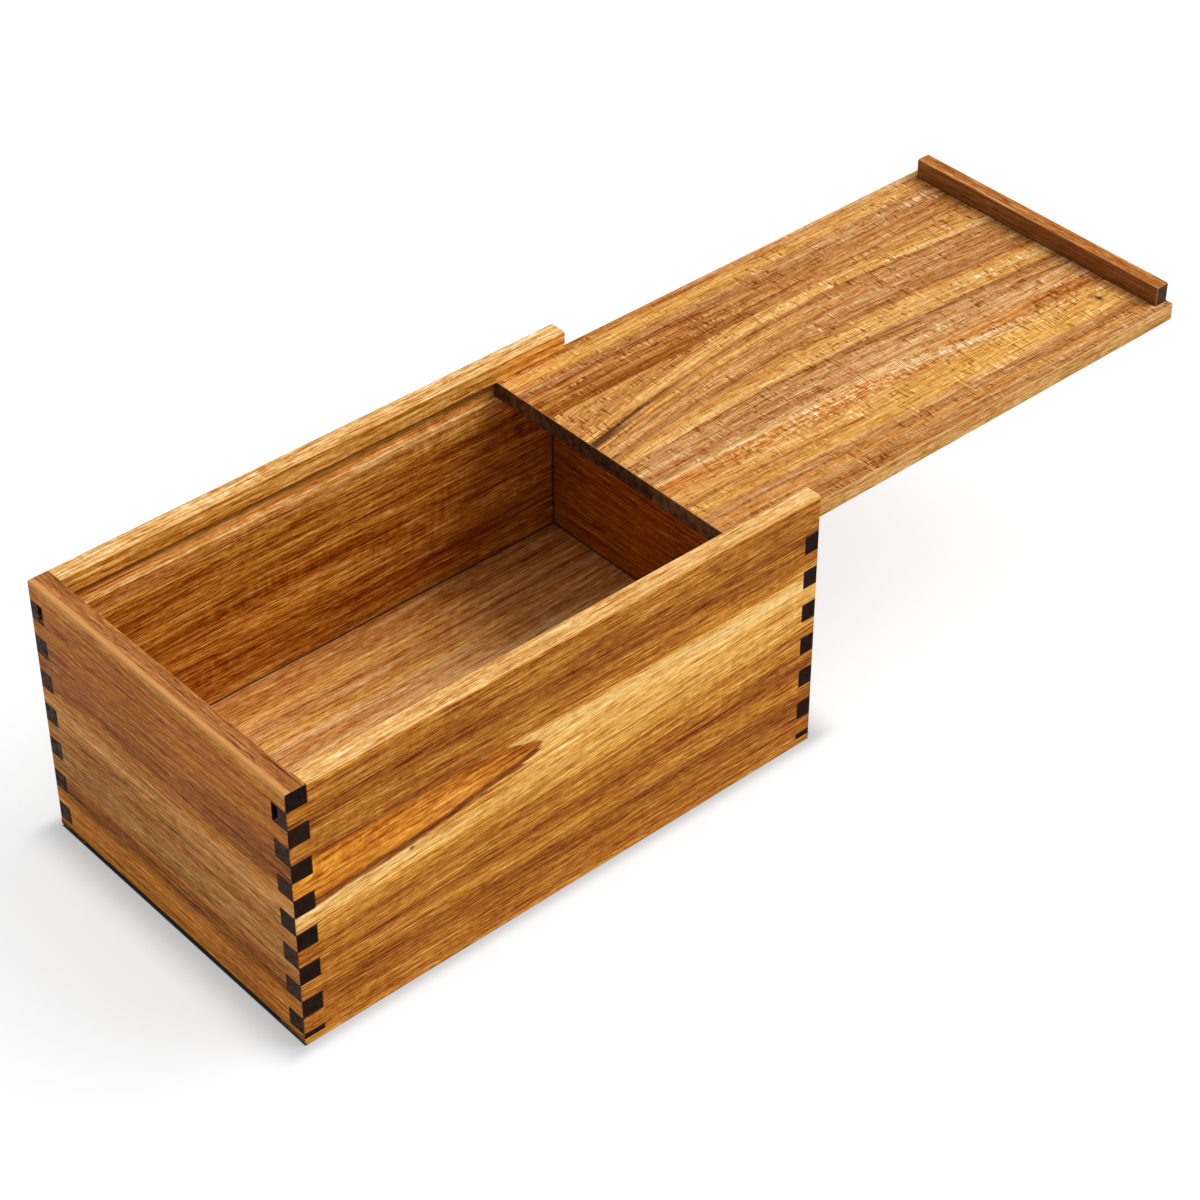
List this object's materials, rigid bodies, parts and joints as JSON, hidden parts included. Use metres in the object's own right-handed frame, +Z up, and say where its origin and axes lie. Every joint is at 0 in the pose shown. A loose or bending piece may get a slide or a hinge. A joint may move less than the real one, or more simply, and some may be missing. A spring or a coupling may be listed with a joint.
{
  "type": "wooden storage box",
  "caption": "Rectangular wooden storage box with finger-jointed corners and a flat lid that slides in side grooves and has a batten for a handle.",
  "frame": {"origin": "on the table under the middle of the box itself, the lid left out of account", "axes": "+X along the box towards the open end, where the lid slides out, +Y to the back long side, +Z up"},
  "size_m": [0.5605, 0.188, 0.1472],
  "materials": {
    "front_side": "oiled golden hardwood, long grain",
    "back_side": "oiled golden brown hardwood, long grain",
    "closed_end": "oiled brown hardwood, dark end grain on its fingers",
    "open_end": "oiled red brown hardwood, dark end grain on its fingers",
    "floor": "oiled greyish golden hardwood",
    "runner": "oiled brown hardwood",
    "lid": "oiled golden brown hardwood, glued up of boards",
    "batten": "oiled red brown hardwood"
  },
  "bodies": {
    "box": {"front_side_upper_board": "front_side", "front_side_lower_board": "front_side", "back_side": "back_side", "closed_end": "closed_end", "open_end": "open_end", "floor_front_board": "floor", "floor_back_board": "floor", "front_runner": "runner", "back_runner": "runner"},
    "lid": {"lid_front_board": "lid", "lid_middle_board": "lid", "lid_back_board": "lid", "lid_batten": "batten"}
  },
  "joints": [
    {"name": "lid_slide", "type": "slide", "parent": "box", "child": "lid", "axis": [1, 0, 0], "range_m": [-0.2545, 0.05]}
  ]
}
